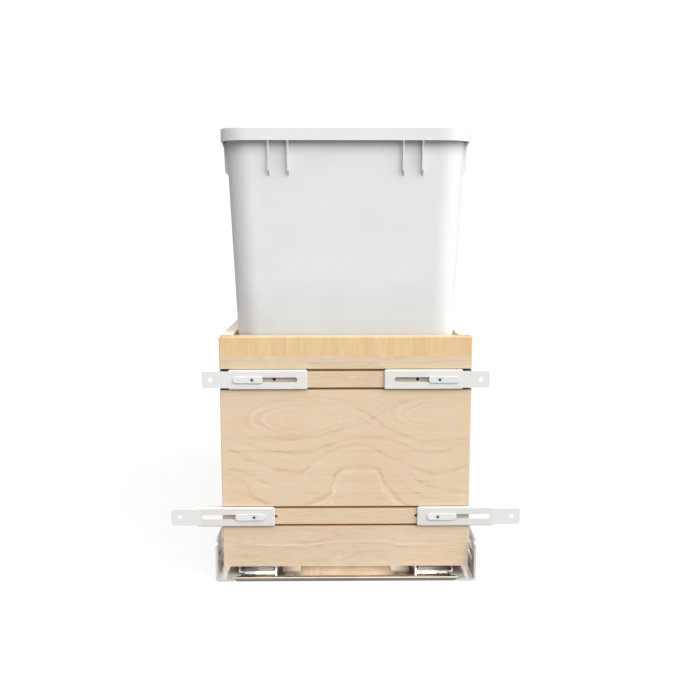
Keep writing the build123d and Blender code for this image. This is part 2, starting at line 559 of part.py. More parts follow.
# ------------------------------------------------------------ front clips
clip_x = 61.0
pivot_y = -214.0
with BuildPart() as left_clip_body:
    # screw plate under the floor, lower jaw, and the block that joins them
    with BuildSketch(Plane.XY.offset(floor_z0 - 3.0)):
        with Locations((-clip_x, -227.0)):
            RectangleRounded(22.0, 52.0, 1.5)
    extrude(amount=3.0)
    with BuildSketch(Plane.XY.offset(15.0)):
        with Locations((-clip_x, -219.0)):
            RectangleRounded(20.0, 36.0, 1.5)
    extrude(amount=2.0)
    with BuildSketch(Plane.XY.offset(16.0)):
        with Locations((-clip_x, -204.0)):
            Rectangle(20.0, 6.0)
    extrude(amount=8.0)
    # pivot of the lever
    with Locations((-clip_x, pivot_y, 19.5)):
        Cylinder(2.0, 9.0)
    # screw holes
    with Locations(*[(-clip_x, y, 20.5) for y in (-238.0, -205.5)]):
        Cylinder(1.5, 16.0, mode=Mode.SUBTRACT)
left_clip_body.part.label = "left_clip_body"
export_step(left_clip_body.part, "parts/left_clip_body.step")

with BuildPart() as left_clip_lever:
    with BuildSketch(Plane.XY.offset(17.4)):
        with BuildLine():
            Polyline((-clip_x - 5, pivot_y + 4.0), (-clip_x + 5, pivot_y + 4.0), (-clip_x + 5, pivot_y - 8), (-clip_x + 1.5, -244), (-clip_x + 1.5, -250), (-clip_x - 7.5, -250), (-clip_x - 7.5, -240), (-clip_x - 5, -236), close=True)
        make_face()
    extrude(amount=5.2)
    fillet(left_clip_lever.edges().filter_by(Axis.Z), radius=1.2)
    with Locations((-clip_x, pivot_y, 20.0)):
        Cylinder(2.06, 8.0, mode=Mode.SUBTRACT)
left_clip_lever.part.label = "left_clip_lever"
export_step(left_clip_lever.part, "parts/left_clip_lever.step")

with BuildPart() as clip_screws:
    for sx in (-1, 1):
        with Locations((sx * clip_x, -238.0, floor_z0 - 3.0)):
            Cylinder(1.2, 7.8, align=(Align.CENTER, Align.CENTER, Align.MIN))
        with Locations((sx * clip_x, -205.5, 15.0)):
            Cylinder(1.2, 15.8, align=(Align.CENTER, Align.CENTER, Align.MIN))
clip_screws.part.label = "clip_screws"
export_step(clip_screws.part, "parts/clip_screws.step")

# ------------------------------------------------------------ soft-close units
damp_x, damp_z = 65.0, 11.5
with BuildPart() as left_damper_housing:
    with Locations((-damp_x, 155.0, (plate_z1 + 18.0) / 2)):
        Box(20.0, 190.0, 18.0 - plate_z1)
    fillet(left_damper_housing.edges().filter_by(Axis.Z), radius=1.5)
    with Locations((-damp_x, 155.0, (plate_z1 + 2.0 + 18.0) / 2 + 3)):
        Box(16.0, 186.0, 18.0 - plate_z1 - 2.0 + 6, mode=Mode.SUBTRACT)
    # web that carries the cylinder's end
    with Locations((-damp_x, 236.0, (plate_z1 + 17.0) / 2)):
        Box(16.2, 3.0, 17.0 - plate_z1)
    with Locations((-damp_x, 238.0, damp_z)):
        Cylinder(2.1, 12.0, rotation=(90, 0, 0), mode=Mode.SUBTRACT)
left_damper_housing.part.label = "left_damper_housing"
export_step(left_damper_housing.part, "parts/left_damper_housing.step")

with BuildPart() as left_damper_cylinder:
    with Locations((-damp_x, 188.0, damp_z)):
        Cylinder(4.6, 92.0, rotation=(90, 0, 0))
    fillet(left_damper_cylinder.edges().filter_by(GeomType.CIRCLE), radius=0.6)
    with Locations((-damp_x, 237.0, damp_z)):
        Cylinder(2.0, 8.0, rotation=(90, 0, 0))
    with Locations((-damp_x, 160.0, damp_z)):
        Cylinder(1.55, 80.0, rotation=(90, 0, 0), mode=Mode.SUBTRACT)
left_damper_cylinder.part.label = "left_damper_cylinder"
export_step(left_damper_cylinder.part, "parts/left_damper_cylinder.step")

with BuildPart() as left_damper_catch:
    with BuildSketch(Plane.YZ.offset(-damp_x - 7.0)) as catch_profile:
        with BuildLine():
            Polyline((75, 7.5), (97, 7.5), (97, 21), (91, 21), (91, 16.5), (75, 16.5), close=True)
        make_face()
        fillet(catch_profile.vertices(), radius=0.8)
    extrude(amount=14.0)
    with Locations((-damp_x, 131.0, damp_z)):
        Cylinder(1.5, 70.0, rotation=(90, 0, 0))
left_damper_catch.part.label = "left_damper_catch"
export_step(left_damper_catch.part, "parts/left_damper_catch.step")

with BuildPart() as left_striker:
    with BuildSketch(Plane.XY.offset(floor_z0 - 2.0)):
        with Locations((-damp_x, 80.0)):
            RectangleRounded(14.0, 22.0, 1.5)
    extrude(amount=2.0)
    with BuildSketch(Plane.XY.offset(18.6)):
        with Locations((-damp_x, 87.5)):
            RectangleRounded(8.0, 4.0, 0.8)
    extrude(amount=floor_z0 - 1.0 - 18.6)
left_striker.part.label = "left_striker"
export_step(left_striker.part, "parts/left_striker.step")

for name, source in (("right_clip_body", left_clip_body), ("right_clip_lever", left_clip_lever), ("right_damper_housing", left_damper_housing), ("right_damper_cylinder", left_damper_cylinder), ("right_damper_catch", left_damper_catch), ("right_striker", left_striker)):
    with BuildPart() as right_piece:
        mirror(source.part, about=Plane.YZ)
    right_piece.part.label = name
    export_step(right_piece.part, "parts/" + name + ".step")
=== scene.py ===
import bpy
import bmesh
import math
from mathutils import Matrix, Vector

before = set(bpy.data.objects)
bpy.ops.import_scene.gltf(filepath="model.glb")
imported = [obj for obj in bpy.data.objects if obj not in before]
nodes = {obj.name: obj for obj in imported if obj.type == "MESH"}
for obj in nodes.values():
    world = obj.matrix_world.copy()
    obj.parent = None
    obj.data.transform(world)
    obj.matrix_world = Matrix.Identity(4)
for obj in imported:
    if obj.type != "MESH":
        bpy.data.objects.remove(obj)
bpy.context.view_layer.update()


# ---------------------------------------------------------------- node graphs
def is_socket(v):
    return isinstance(v, bpy.types.NodeSocket)


def srgb(r, g, b):
    """8-bit display colour to linear."""
    out = []
    for c in (r, g, b):
        c /= 255.0
        out.append(c / 12.92 if c <= 0.04045 else ((c + 0.055) / 1.055) ** 2.4)
    return (*out, 1.0)


class Graph:
    def __init__(self, name):
        self.mat = bpy.data.materials.new(name)
        self.mat.use_nodes = True
        self.t = self.mat.node_tree
        self.t.nodes.clear()
        self.out = self.t.nodes.new("ShaderNodeOutputMaterial")
        self.b = self.t.nodes.new("ShaderNodeBsdfPrincipled")
        self.t.links.new(self.b.outputs[0], self.out.inputs[0])
        self.coord = self.t.nodes.new("ShaderNodeTexCoord")
        mm = self.v("SCALE", self.coord.outputs["Object"])
        mm.node.inputs["Scale"].default_value = 1000.0
        self.p = mm
        self.x, self.y, self.z = self.split(mm)

    def fixed(self, **values):
        for k, v in values.items():
            self.b.inputs[k.replace("_", " ")].default_value = v

    def new(self, kind, **props):
        n = self.t.nodes.new(kind)
        for k, v in props.items():
            setattr(n, k, v)
        return n

    def put(self, sock, v):
        if is_socket(v):
            self.t.links.new(v, sock)
        elif v is not None:
            sock.default_value = v

    def m(self, op, a, b=None, c=None, clamp=False):
        n = self.new("ShaderNodeMath", operation=op, use_clamp=clamp)
        for i, v in enumerate((a, b, c)):
            self.put(n.inputs[i], v)
        return n.outputs[0]

    def v(self, op, a, b=None):
        n = self.new("ShaderNodeVectorMath", operation=op)
        self.put(n.inputs[0], a)
        self.put(n.inputs[1], b)
        return n.outputs[0]

    def split(self, v):
        n = self.new("ShaderNodeSeparateXYZ")
        self.put(n.inputs[0], v)
        return n.outputs[0], n.outputs[1], n.outputs[2]

    def vec(self, x, y, z):
        n = self.new("ShaderNodeCombineXYZ")
        for i, s in enumerate((x, y, z)):
            self.put(n.inputs[i], s)
        return n.outputs[0]

    def noise(self, v, scale=1.0, detail=2.0, rough=0.5, distort=0.0):
        n = self.new("ShaderNodeTexNoise", noise_dimensions="3D")
        self.put(n.inputs["Vector"], v)
        n.inputs["Scale"].default_value = scale
        n.inputs["Detail"].default_value = detail
        n.inputs["Roughness"].default_value = rough
        n.inputs["Distortion"].default_value = distort
        return n.outputs["Fac"]

    def cells(self, v, scale=1.0, feature="F1", out="Distance", randomness=1.0):
        n = self.new("ShaderNodeTexVoronoi", feature=feature)
        self.put(n.inputs["Vector"], v)
        n.inputs["Scale"].default_value = scale
        n.inputs["Randomness"].default_value = randomness
        return n.outputs[out]

    def step(self, v, lo, hi, a=0.0, b=1.0):
        n = self.new("ShaderNodeMapRange", interpolation_type="SMOOTHSTEP")
        self.put(n.inputs["Value"], v)
        n.inputs["From Min"].default_value = lo
        n.inputs["From Max"].default_value = hi
        n.inputs["To Min"].default_value = a
        n.inputs["To Max"].default_value = b
        return n.outputs[0]

    def ramp(self, fac, stops, how="LINEAR"):
        n = self.new("ShaderNodeValToRGB")
        r = n.color_ramp
        r.interpolation = how
        while len(r.elements) < len(stops):
            r.elements.new(0.5)
        for e, (pos, col) in zip(r.elements, stops):
            e.position = pos
            e.color = col if len(col) == 4 else (*col, 1.0)
        self.put(n.inputs[0], fac)
        return n.outputs[0]

    def mix(self, fac, a, b, blend="MIX"):
        n = self.new("ShaderNodeMix", data_type="RGBA", blend_type=blend)
        self.put(n.inputs[0], fac)
        self.put(n.inputs[6], a)
        self.put(n.inputs[7], b)
        return n.outputs[2]

    def bump(self, height, strength, distance, normal=None):
        n = self.new("ShaderNodeBump")
        n.inputs["Strength"].default_value = strength
        n.inputs["Distance"].default_value = distance
        self.put(n.inputs["Height"], height)
        if normal is not None:
            self.put(n.inputs["Normal"], normal)
        return n.outputs[0]

    def side(self, axis):
        """How much the surface faces along an axis of the part, 0 to 1."""
        n = self.split(self.coord.outputs["Normal"])["xyz".index(axis)]
        return self.m("ABSOLUTE", n)

    def curve(self, x, points):
        """Height over the part's width, through given points (mm)."""
        n = self.new("ShaderNodeFloatCurve")
        c = n.mapping.curves[0]
        while len(c.points) < len(points):
            c.points.new(0.5, 0.5)
        for q, (px, pz) in zip(c.points, points):
            q.location = ((px + 140.0) / 280.0, pz / 280.0)
            q.handle_type = "AUTO"
        n.mapping.update()
        self.put(n.inputs["Value"], self.m("MULTIPLY_ADD", x, 1 / 280.0, 0.5))
        return self.m("MULTIPLY", n.outputs[0], 280.0)

    def pair(self, d, width, flank=0.3):
        """A growth line from its distance: a dark side and a fainter light side."""
        a = self.m("MULTIPLY", d, 1.0 / width)
        dark = self.m("EXPONENT", self.m("MULTIPLY", self.m("MULTIPLY", a, a), -1.0))
        b = self.m("MULTIPLY", self.m("ADD", d, width * 1.8), 0.75 / width)
        light = self.m("EXPONENT", self.m("MULTIPLY", self.m("MULTIPLY", b, b), -1.0))
        return self.m("SUBTRACT", dark, self.m("MULTIPLY", light, flank))

    def drawn(self, points, width, ends=12.0, flip=1.0, flank=0.3):
        """One growth line along given points, faded at both ends."""
        f = self.curve(self.wx, points)
        g1 = self.curve(self.m("ADD", self.wx, 1.5), points)
        g0 = self.curve(self.m("SUBTRACT", self.wx, 1.5), points)
        slope = self.m("MULTIPLY", self.m("SUBTRACT", g1, g0), 1 / 3.0)
        norm = self.m("SQRT", self.m("ADD", self.m("MULTIPLY", slope, slope), 1.0))
        d = self.m("MULTIPLY", self.m("DIVIDE", self.m("SUBTRACT", self.wz, f), norm), flip)
        x0, x1 = points[0][0], points[-1][0]
        fade = self.m("MULTIPLY", self.step(self.wx, x0 - 0.5, x0 + ends), self.step(self.wx, x1 - ends, x1 + 0.5, 1.0, 0.0))
        return self.m("MULTIPLY", self.pair(d, width, flank), fade)

    def eye(self, x0, z0, a, b, width, power=1.6, left=1.0, right=1.0):
        """A closed growth line, pointed left and right, with each half's own strength."""
        dx = self.m("MULTIPLY", self.m("SUBTRACT", self.wx, x0), 1.0 / a)
        dz = self.m("MULTIPLY", self.m("SUBTRACT", self.wz, z0), 1.0 / b)
        r = self.m("ADD", self.m("POWER", self.m("ABSOLUTE", dx), power), self.m("POWER", self.m("ABSOLUTE", dz), 2.0))
        r = self.m("SUBTRACT", self.m("POWER", r, 0.5), 1.0)
        flat = self.m("ABSOLUTE", dz)
        size = self.m("ADD", a * 0.72, self.m("MULTIPLY", flat, b - a * 0.72))
        d = self.m("MULTIPLY", r, size)
        nose = self.step(flat, 0.45, 0.80, 0.85, 0.1)
        return self.m("MULTIPLY", self.pair(d, width, nose), self.step(dx, -0.25, 0.25, left, right))


# ---------------------------------------------------------------- wood
FACE_LIGHT = srgb(237, 216, 187)
FACE_MID = srgb(232, 209, 178)
FACE_LINE = srgb(215, 189, 156)


# growth lines of the panel's outside face: points (mm), half width, strength, side of the light flank
FRONT_LINES = [
    ([(-131.3, 154.0), (-114.3, 151.0), (-99.4, 147.8), (-80.2, 141.1), (-62.1, 138.9), (-45.0, 138.9), (-20.6, 146.7),
      (0.7, 153.0), (28.4, 155.1), (55.1, 151.0), (72.1, 142.2), (85.9, 138.9), (98.7, 138.9), (121.1, 146.7), (136.0, 151.0)], 1.15, 0.80, 1.0),
    ([(-131.3, 145.6), (-118.5, 141.1), (-104.7, 132.6), (-80.2, 124.1), (-58.9, 117.5), (-47.2, 118.6), (-34.4, 129.4),
      (-20.6, 138.9), (0.7, 146.7), (17.8, 147.8), (33.8, 141.1), (49.7, 132.6), (72.1, 123.1), (91.3, 116.4), (104.1, 117.5), (136.0, 127.3)], 1.25, 0.95, 1.0),
    ([(-52.5, 79.8), (-39.7, 83.1), (-25.9, 88.7), (-17.4, 96.4), (-13.1, 108.6), (-8.8, 117.5), (-0.3, 122.5),
      (13.5, 123.1), (28.4, 122.5), (34.8, 118.6), (41.2, 106.4), (48.7, 96.4), (61.5, 83.1), (79.6, 77.5)], 1.35, 1.15, 1.0),
    ([(-38.0, 76.0), (-27.0, 81.0), (-12.0, 88.5), (0.0, 92.0), (14.0, 92.5), (28.0, 92.0), (40.0, 88.0), (52.0, 80.5), (60.0, 76.0)], 0.9, 0.45, 1.0),
    ([(0.7, 192.9), (11.4, 187.6), (28.4, 177.1), (41.2, 167.2), (55.1, 160.6), (68.9, 155.1), (82.8, 152.0), (96.6, 152.0), (109.4, 152.0), (136.0, 157.0)], 1.1, 0.95, 1.0),
    ([(-8.0, 188.0), (6.0, 180.0), (22.0, 171.0), (38.0, 162.5), (54.0, 156.0), (72.0, 150.5), (90.0, 147.5), (112.0, 148.5), (136.0, 153.5)], 1.0, 0.6, 1.0),
    ([(-112.1, 156.2), (-95.1, 154.0), (-74.9, 152.0), (-48.2, 155.1), (-20.6, 160.6), (-0.3, 166.1), (17.8, 171.6), (30.6, 178.1), (41.2, 185.5), (56.1, 193.9), (74.2, 199.2)], 1.0, 0.75, -1.0),
    ([(-131.3, 160.5), (-112.0, 160.0), (-88.0, 157.0), (-62.0, 156.5), (-36.0, 161.0), (-12.0, 167.5), (8.0, 173.0), (24.0, 180.5), (38.0, 190.0), (54.0, 199.0)], 1.0, 0.6, -1.0),
    ([(-131.3, 104.1), (-120.7, 109.7), (-112.1, 110.8), (-106.0, 104.0), (-100.0, 93.0), (-90.0, 86.0), (-74.0, 81.0)], 1.5, 0.8, 1.0),
    ([(-131.3, 101.9), (-118.5, 97.5), (-107.9, 93.1), (-96.2, 87.6), (-69.5, 80.9)], 1.4, 0.7, 1.0),
    ([(-131.3, 120.0), (-118.0, 121.0), (-104.0, 116.0), (-88.0, 108.0), (-70.0, 101.0), (-52.0, 97.0), (-36.0, 96.0), (-24.0, 99.0)], 1.3, 0.55, 1.0),
    ([(62.5, 119.8), (73.2, 110.8), (83.8, 104.1), (100.9, 99.7), (136.0, 95.3)], 1.2, 0.8, 1.0),
    ([(52.0, 118.0), (62.0, 105.0), (74.0, 95.0), (90.0, 88.5), (112.0, 85.0), (136.0, 84.0)], 1.2, 0.6, 1.0),
    ([(-131.3, 199.0), (-96.0, 201.5), (-60.0, 200.5), (-30.0, 199.5), (-6.0, 196.5), (10.0, 194.0), (30.0, 197.5), (52.0, 203.5)], 1.0, 0.6, -1.0),
    ([(-130.7, 41.3), (-121.6, 40.0), (-107.8, 38.2), (-92.5, 35.8), (-74.1, 34.2), (-58.8, 33.9), (-40.3, 34.8), (-28.0, 36.0), (-15.7, 37.8),
      (2.8, 38.8), (18.1, 39.2), (30.4, 38.7), (45.8, 37.5), (56.6, 36.0), (69.0, 34.6), (82.8, 34.3), (101.3, 35.5), (136.0, 38.4)], 0.75, 0.95, -1.0),
    ([(-69.4, 39.4), (-58.7, 40.2), (-43.3, 39.8), (-31.0, 41.0), (-21.8, 42.6), (-8.6, 44.3)], 0.8, 0.75, 1.0),
    ([(-89.3, 43.9), (-83.9, 48.6), (-76.2, 52.9), (-66.2, 55.1), (-52.4, 55.5), (-37.1, 54.0), (-24.9, 52.4), (-12.6, 50.4), (-4.9, 48.1), (4.8, 46.0)], 0.9, 0.75, 1.0),
    ([(80.3, 38.4), (95.1, 39.7), (104.3, 40.0), (113.6, 39.4), (136.0, 42.7)], 0.75, 0.75, 1.0),
    ([(-22.9, 19.2), (-17.3, 23.7), (-12.7, 26.0), (-5.0, 27.4), (7.4, 28.2), (18.2, 28.7), (28.4, 31.2)], 0.9, 0.7, 1.0),
    ([(-8.5, 13.0), (-3.4, 21.7), (1.2, 24.0), (8.9, 25.2), (16.6, 28.1), (21.7, 34.0)], 1.0, 0.65, -1.0),
    ([(24.4, 27.6), (33.6, 23.8), (41.3, 21.9), (49.0, 18.4), (60.3, 13.4)], 0.9, 0.8, 1.0),
    ([(-122.6, 33.4), (-107.9, 32.5), (-95.6, 31.7), (-83.4, 30.7), (-74.2, 28.5), (-64.5, 24.0)], 0.7, 0.6, 1.0),
    ([(-136.0, 28.6), (-117.2, 26.5), (-108.1, 22.9), (-95.8, 18.6), (-82.7, 13.6)], 1.0, 0.6, 1.0),
    ([(72.5, 50.0), (90.3, 51.6), (110.3, 50.5), (136.0, 48.4)], 0.7, 0.45, 1.0),
]
# closed lines: middle (mm), half length, half height, half width of the line, strength, left half, right half
FRONT_EYES = [
    (-53.0, 175.5, 52.5, 22.5, 1.0, 0.80, 1.0, 0.7),
    (-53.0, 175.5, 48.6, 19.6, 0.8, 0.55, 1.0, 0.3),
    (-51.0, 175.0, 41.0, 15.8, 0.9, 0.80, 1.0, 0.5),
    (-49.0, 175.0, 30.0, 10.5, 0.9, 0.45, 1.0, 0.4),
    (-47.0, 174.5, 15.0, 5.0, 0.9, 0.40, 1.0, 0.7),
    (97.0, 181.5, 48.5, 19.0, 1.0, 0.80, 1.0, 0.6),
    (97.0, 181.5, 44.6, 16.4, 0.8, 0.50, 1.0, 0.3),
    (99.0, 181.0, 37.0, 12.5, 0.9, 0.75, 1.0, 0.5),
    (102.0, 181.0, 20.0, 6.0, 0.9, 0.30, 1.0, 0.6),
    (84.0, 104.0, 5.0, 2.6, 0.8, 0.55, 1.0, 1.0),
    (13.0, 111.5, 9.5, 2.5, 6.5, 0.62, 1.0, 1.0),
    (16.0, 91.5, 15.0, 2.2, 8.5, 0.50, 1.0, 1.0),
]


def wood(name, grain, across, thick, start, thickness, seed, front=False, painted_top_highlight=False):
    """Rotary-cut birch plywood. grain, across and thick are the panel's axes."""
    g = Graph(name)
    c = {"x": g.x, "y": g.y, "z": g.z}
    u, v, w = c[grain], c[across], c[thick]
    # slow wander of the growth rings
    drift = g.noise(g.vec(g.m("MULTIPLY", u, 1 / 170.0), g.m("MULTIPLY", v, 1 / 62.0), seed), 1.0, 1.0, 0.45)
    fine_drift = g.noise(g.vec(g.m("MULTIPLY", u, 1 / 21.0), g.m("MULTIPLY", v, 1 / 9.0), seed + 3.0), 1.0, 2.0, 0.55)
    shake = g.noise(g.vec(g.m("MULTIPLY", u, 1 / 9.0), g.m("MULTIPLY", v, 1 / 1.6), seed + 8.0), 1.0, 1.0, 0.5)
    # plain figure: long rings that close into loops here and there
    plain = g.m("ADD", g.m("MULTIPLY", v, 1 / 30.0), g.m("MULTIPLY", drift, 9.5))
    plain = g.m("ADD", plain, g.m("MULTIPLY", fine_drift, 0.42))
    figure = g.m("ADD", plain, g.m("MULTIPLY", g.m("SUBTRACT", shake, 0.5), 0.07))
    ring = g.m("FRACT", g.m("ADD", figure, 40.0))
    tone = g.ramp(ring, [(0.0, srgb(221, 196, 163)), (0.07, srgb(226, 202, 170)), (0.20, FACE_MID), (0.50, FACE_LIGHT), (0.85, FACE_MID), (0.95, srgb(230, 207, 176)), (1.0, srgb(221, 196, 163))])
    if front:
        # outside face: cathedral figure placed line by line
        sway = g.noise(g.vec(g.m("MULTIPLY", u, 1 / 13.0), g.m("MULTIPLY", v, 1 / 7.0), 4.0), 1.0, 2.0, 0.55)
        sway2 = g.noise(g.vec(g.m("MULTIPLY", u, 1 / 13.0), g.m("MULTIPLY", v, 1 / 7.0), 9.0), 1.0, 2.0, 0.55)
        g.wx = g.m("ADD", u, g.m("MULTIPLY", g.m("SUBTRACT", sway, 0.5), 9.0))
        g.wz = g.m("ADD", v, g.m("MULTIPLY", g.m("SUBTRACT", sway2, 0.5), 5.0))
        total = None
        for points, width, strength, flip in FRONT_LINES:
            one = g.m("MULTIPLY", g.drawn(points, width * 1.75, flip=flip, flank=0.8 if points[0][0] in (-52.5, -130.7) else 0.25), strength)
            total = one if total is None else g.m("ADD", total, one)
        for x0, z0, a, b, width, strength, left, right in FRONT_EYES:
            total = g.m("ADD", total, g.m("MULTIPLY", g.eye(x0, z0, a, b, width * 1.25, left=left, right=right), strength))
        # lines come and go along their length
        fickle = g.noise(g.vec(g.m("MULTIPLY", u, 1 / 24.0), g.m("MULTIPLY", v, 1 / 9.0), 14.0), 1.0, 2.0, 0.6)
        total = g.m("MULTIPLY", total, g.step(fickle, 0.30, 0.62, 0.65, 1.15))
        middle = g.m("MULTIPLY", g.step(v, 79.0, 81.0), g.step(v, 205.5, 207.0, 1.0, 0.0))
        level = g.noise(g.vec(g.m("MULTIPLY", u, 1 / 60.0), g.m("MULTIPLY", v, 1 / 2.6), 17.0), 1.0, 2.0, 0.55)
        level = g.m("SUBTRACT", g.step(level, 0.56, 0.70), g.m("MULTIPLY", g.step(level, 0.44, 0.32), 0.5))
        strips = g.m("SUBTRACT", 1.0, middle)
        short = g.noise(g.vec(g.m("MULTIPLY", u, 1 / 17.0), g.m("MULTIPLY", v, 1 / 1.25), 37.0), 1.0, 2.0, 0.55)
        level = g.m("ADD", g.m("MULTIPLY", level, 0.95), g.m("MULTIPLY", g.m("SUBTRACT", g.step(short, 0.52, 0.70), g.step(short, 0.46, 0.30)), g.step(v, 57.0, 58.5, 0.6, 0.9)))
        quiet = g.noise(g.vec(g.m("MULTIPLY", g.wx, 1 / 48.0), g.m("MULTIPLY", g.wz, 1 / 7.0), 23.0), 1.0, 2.0, 0.5)
        quiet = g.m("SUBTRACT", g.step(quiet, 0.55, 0.72), g.step(quiet, 0.45, 0.30))
        total = g.m("ADD", g.m("MULTIPLY", total, g.m("MAXIMUM", middle, g.step(v, 57.0, 58.5, 1.0, 0.0))),
                    g.m("ADD", g.m("MULTIPLY", level, strips), g.m("MULTIPLY", quiet, 0.28)))
        value = g.m("ADD", g.m("MULTIPLY", total, -0.20), 0.5)
        face = g.ramp(value, [(0.10, srgb(210, 182, 148)), (0.26, srgb(221, 194, 161)), (0.42, srgb(230, 206, 175)), (0.54, srgb(232, 208, 178)), (0.62, srgb(237, 215, 187)), (0.72, srgb(242, 222, 196)), (0.9, srgb(244, 226, 202))])
        # painted shade: the upper strip and the lower band a little darker, and the part below the lower band darker
        # except towards its right, most at its lower left
        painted_strip_shade = g.m("MAXIMUM", g.step(v, 205.5, 206.5), g.m("MULTIPLY", g.step(v, 57.5, 58.5), g.step(v, 80.0, 81.0, 1.0, 0.0)))
        face = g.mix(painted_strip_shade, face, srgb(250, 250, 250), "MULTIPLY")
        low_part = g.step(v, 57.5, 58.5, 1.0, 0.0)
        face = g.mix(g.m("MULTIPLY", low_part, g.step(u, 10.0, 80.0, 1.0, 0.15)), face, srgb(248, 249, 250), "MULTIPLY")
        face = g.mix(g.m("MULTIPLY", g.m("MULTIPLY", low_part, g.step(v, 48.0, 18.0)), g.step(u, -20.0, -110.0)), face, srgb(246, 247, 247), "MULTIPLY")
        tone = g.mix(g.step(w, -262.5, -262.0, 1.0, 0.0), tone, face)
    # slow changes of hue over the sheet
    patch = g.noise(g.vec(g.m("MULTIPLY", u, 1 / 70.0), g.m("MULTIPLY", v, 1 / 30.0), seed + 21.0), 1.0, 2.0, 0.5)
    hue = g.ramp(patch, [(0.3, srgb(255, 240, 230)), (0.5, srgb(255, 255, 255)), (0.72, srgb(250, 255, 244))])
    tone = g.mix(0.35, tone, hue, "MULTIPLY")
    # fibres and small pores along the grain
    fibre = g.noise(g.vec(g.m("MULTIPLY", u, 1 / 26.0), g.m("MULTIPLY", v, 1 / 0.75), g.m("MULTIPLY", w, 1 / 0.75)), 1.0, 3.0, 0.6)
    fibre_tone = g.ramp(fibre, [(0.30, srgb(244, 240, 235)), (0.50, srgb(255, 255, 255)), (0.75, srgb(252, 250, 247))])
    tone = g.mix(0.55, tone, fibre_tone, "MULTIPLY")
    pores = g.noise(g.vec(g.m("MULTIPLY", u, 1 / 5.0), g.m("MULTIPLY", v, 1 / 0.42), g.m("ADD", g.m("MULTIPLY", w, 1 / 0.42), seed)), 1.0, 1.0, 0.5)
    pore = g.step(pores, 0.68, 0.80)
    tone = g.mix(g.m("MULTIPLY", pore, 0.30), tone, srgb(196, 165, 128))
    # glued layers on the edges of the sheet
    count = 11 if thickness > 14 else 9
    layer = g.m("MULTIPLY", g.m("SUBTRACT", w, start), count / thickness)
    layer = g.m("ADD", layer, g.m("MULTIPLY", g.m("SUBTRACT", fine_drift, 0.5), 0.12))
    index = g.m("FLOOR", layer)
    end_grain = g.m("PINGPONG", index, 1.0)
    mottle = g.noise(g.p, 1.9, 3.0, 0.7)
    along = g.noise(g.vec(g.m("MULTIPLY", g.x, 1 / 12.0), g.m("MULTIPLY", g.y, 1 / 12.0), g.m("MULTIPLY", g.z, 1 / 1.3)), 1.0, 2.0, 0.6)
    end_tone = g.ramp(mottle, [(0.3, srgb(196, 163, 124)), (0.55, srgb(214, 183, 144)), (0.8, srgb(222, 194, 157))])
    long_tone = g.ramp(along, [(0.3, srgb(228, 201, 165)), (0.6, srgb(238, 216, 184))])
    edge_tone = g.mix(end_grain, long_tone, end_tone)
    glue = g.m("ABSOLUTE", g.m("SUBTRACT", g.m("FRACT", g.m("ADD", layer, 0.5)), 0.5))
    edge_tone = g.mix(g.step(glue, 0.03, 0.10, 0.45, 0.0), edge_tone, srgb(168, 130, 92))
    on_edge = g.step(g.side(thick), 0.45, 0.75, 1.0, 0.0)
    # painted highlight: up-facing edges mixed towards a light cream, as strong light from above would show them
    if painted_top_highlight:
        up = g.step(g.split(g.coord.outputs["Normal"])[2], 0.5, 0.9)
        edge_tone = g.mix(g.m("MULTIPLY", up, 0.88), edge_tone, srgb(254, 248, 228))
    tone = g.mix(on_edge, tone, edge_tone)
    if front:
        # painted shade: kerfs darkened, near dark where the brackets cover them and brown between them; and a painted
        # grey shade band behind each bracket slot
        below = g.step(w, -269.92, -269.7)
        off_band = g.m("MINIMUM", g.m("ABSOLUTE", g.m("SUBTRACT", v, 218.0)), g.m("ABSOLUTE", g.m("SUBTRACT", v, 69.2)))
        kerf = g.m("MULTIPLY", g.m("MULTIPLY", g.step(off_band, 8.3, 8.5), g.step(off_band, 11.2, 11.4, 1.0, 0.0)), below)
        inside = g.m("MULTIPLY", kerf, g.step(w, -263.4, -263.2, 1.0, 0.0))
        far = g.m("ABSOLUTE", u)
        open_run = g.m("MAXIMUM", g.step(far, 41.5, 38.5), g.m("MULTIPLY", g.step(v, 100.0, 99.0), g.step(far, 77.5, 74.5)))
        tone = g.mix(g.m("MULTIPLY", inside, 0.88), tone, g.mix(open_run, g.ramp(mottle, [(0.3, srgb(92, 82, 62)), (0.7, srgb(118, 104, 80))]), g.ramp(mottle, [(0.3, srgb(206, 169, 117)), (0.7, srgb(226, 190, 140))])))
        # painted shade: a grey band along each bracket band where the slot shows the panel, standing in for the shade
        # behind the bracket
        upper = g.m("MULTIPLY", g.step(v, 200.0, 201.0), g.step(far, 44.0, 50.0))
        rub_and_slot_shade = g.m("MAXIMUM", upper, g.step(far, 104.0, 112.0))
        rub_and_slot_shade = g.m("MULTIPLY", rub_and_slot_shade, g.step(off_band, 2.4, 3.6, 1.0, 0.0))
        streak = g.noise(g.vec(g.m("MULTIPLY", u, 1 / 30.0), g.m("MULTIPLY", v, 1 / 0.5), 2.0), 1.0, 2.0, 0.5)
        tone = g.mix(g.m("MULTIPLY", rub_and_slot_shade, g.step(streak, 0.2, 0.7, 0.72, 0.92)), tone, srgb(196, 188, 174))
    g.put(g.b.inputs["Base Color"], tone)
    rough = g.ramp(g.m("ADD", g.m("MULTIPLY", fibre, 0.6), g.m("MULTIPLY", pore, 0.4)), [(0.1, (0.40,) * 3), (0.9, (0.56,) * 3)])
    g.put(g.b.inputs["Roughness"], g.m("ADD", rough, g.m("MULTIPLY", on_edge, 0.12)))
    height = g.m("SUBTRACT", g.m("MULTIPLY", fibre, 0.5), g.m("MULTIPLY", pore, 0.8))
    height = g.m("ADD", height, g.m("MULTIPLY", g.m("MULTIPLY", on_edge, end_grain), g.m("MULTIPLY", mottle, -0.9)))
    g.put(g.b.inputs["Normal"], g.bump(height, 0.35, 0.00012))
    g.fixed(Coat_Weight=0.12, Coat_Roughness=0.28, Specular_IOR_Level=0.4)
    return g.mat


